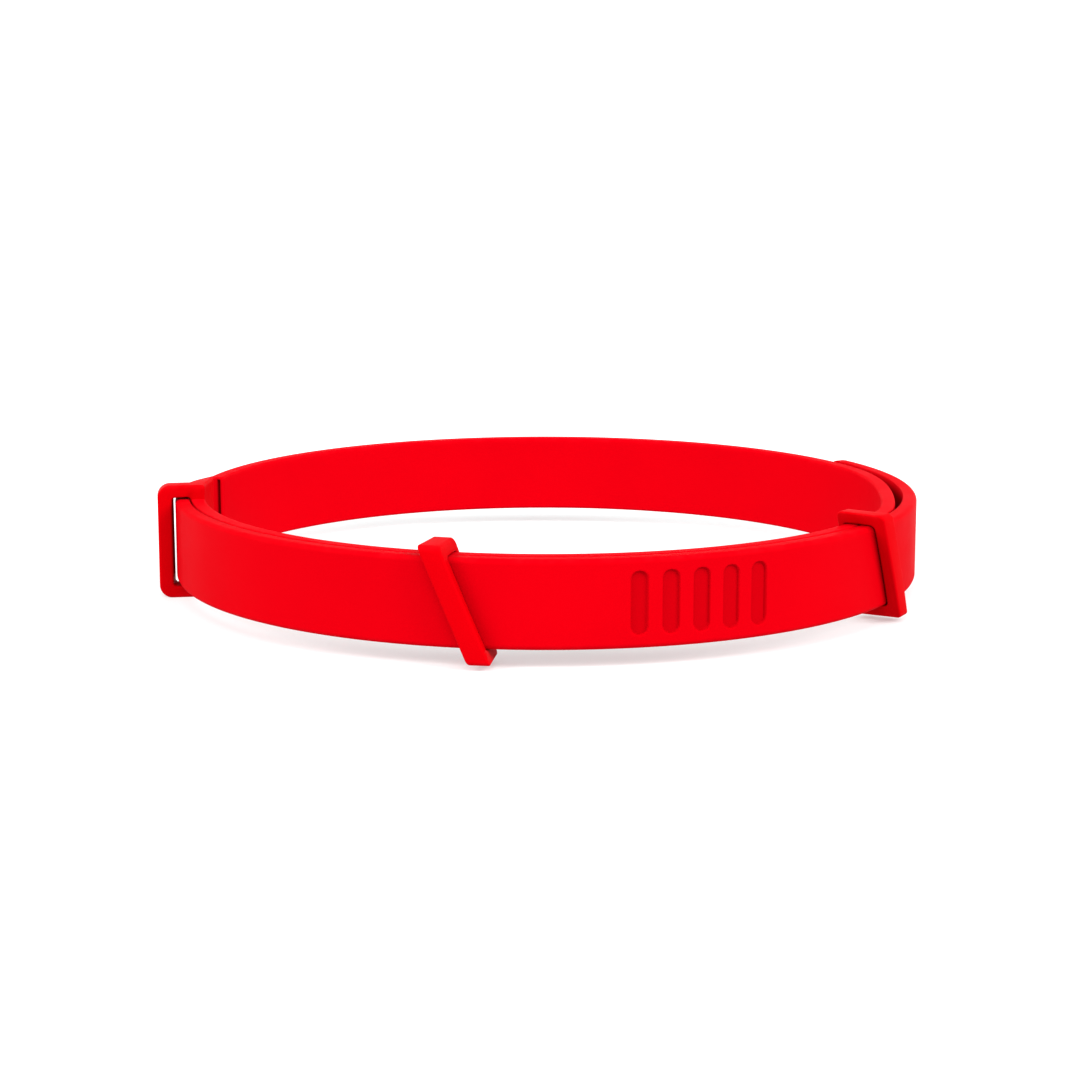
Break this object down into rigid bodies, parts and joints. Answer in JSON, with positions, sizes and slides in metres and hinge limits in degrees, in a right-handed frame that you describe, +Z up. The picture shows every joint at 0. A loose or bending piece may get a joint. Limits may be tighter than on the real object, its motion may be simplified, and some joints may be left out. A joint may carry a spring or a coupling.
{
  "type": "ankle cuff weight",
  "caption": "Slim moulded ankle strap loop with thin weights inside, closed through a rectangular buckle frame, with slanted sliding keepers.",
  "frame": {"origin": "centre of the loop's bounding box, on the surface that the loop stands on", "axes": "+Z up along the strap's width, +X from the buckle frame towards the far side of the loop, -Y towards the front with the two strap layers"},
  "size_m": [0.1212, 0.1178, 0.018],
  "materials": {
    "strap": "satin moulded elastomer, bright red",
    "liner": "satin moulded elastomer, red",
    "frame": "satin moulded plastic, bright red",
    "keeper": "satin moulded plastic, bright red",
    "weight": "bare rolled steel plate"
  },
  "bodies": {
    "band": {"band_outer": "strap", "inner_liner": "liner", "buckle_frame": "frame", "weight_slug_01": "weight", "weight_slug_02": "weight", "weight_slug_03": "weight", "weight_slug_04": "weight", "weight_slug_05": "weight", "weight_slug_06": "weight", "weight_slug_07": "weight", "weight_slug_08": "weight", "weight_slug_09": "weight", "weight_slug_10": "weight", "weight_slug_11": "weight", "weight_slug_12": "weight", "weight_slug_13": "weight", "weight_slug_14": "weight", "weight_slug_15": "weight", "weight_slug_16": "weight", "weight_slug_17": "weight", "weight_slug_18": "weight", "weight_slug_19": "weight", "weight_slug_20": "weight"},
    "keeper_front": {"keeper_front": "keeper"},
    "keeper_side": {"keeper_side": "keeper"},
    "tail": {"tail": "strap"},
    "tail_end": {"tail_end": "strap"}
  },
  "joints": [
    {"name": "keeper_front_slide", "type": "hinge", "parent": "band", "child": "keeper_front", "pos_m": [0.00101, 0.00205, 0.00925], "axis": [0, 0, 1], "range_deg": [-45, 45]},
    {"name": "keeper_side_slide", "type": "hinge", "parent": "band", "child": "keeper_side", "pos_m": [0.00101, 0.00205, 0.00925], "axis": [0, 0, 1], "range_deg": [-12, 6]},
    {"name": "tail_pull", "type": "hinge", "parent": "band", "child": "tail", "pos_m": [0.00101, 0.00205, 0.00925], "axis": [0, 0, 1], "range_deg": [0, 4.5]},
    {"name": "tail_end_flex", "type": "hinge", "parent": "tail", "child": "tail_end", "pos_m": [0.05766, -0.01581, 0.00925], "axis": [0, 0, -1], "range_deg": [0, 40], "stiffness_Nm_per_rad": 0.02}
  ]
}
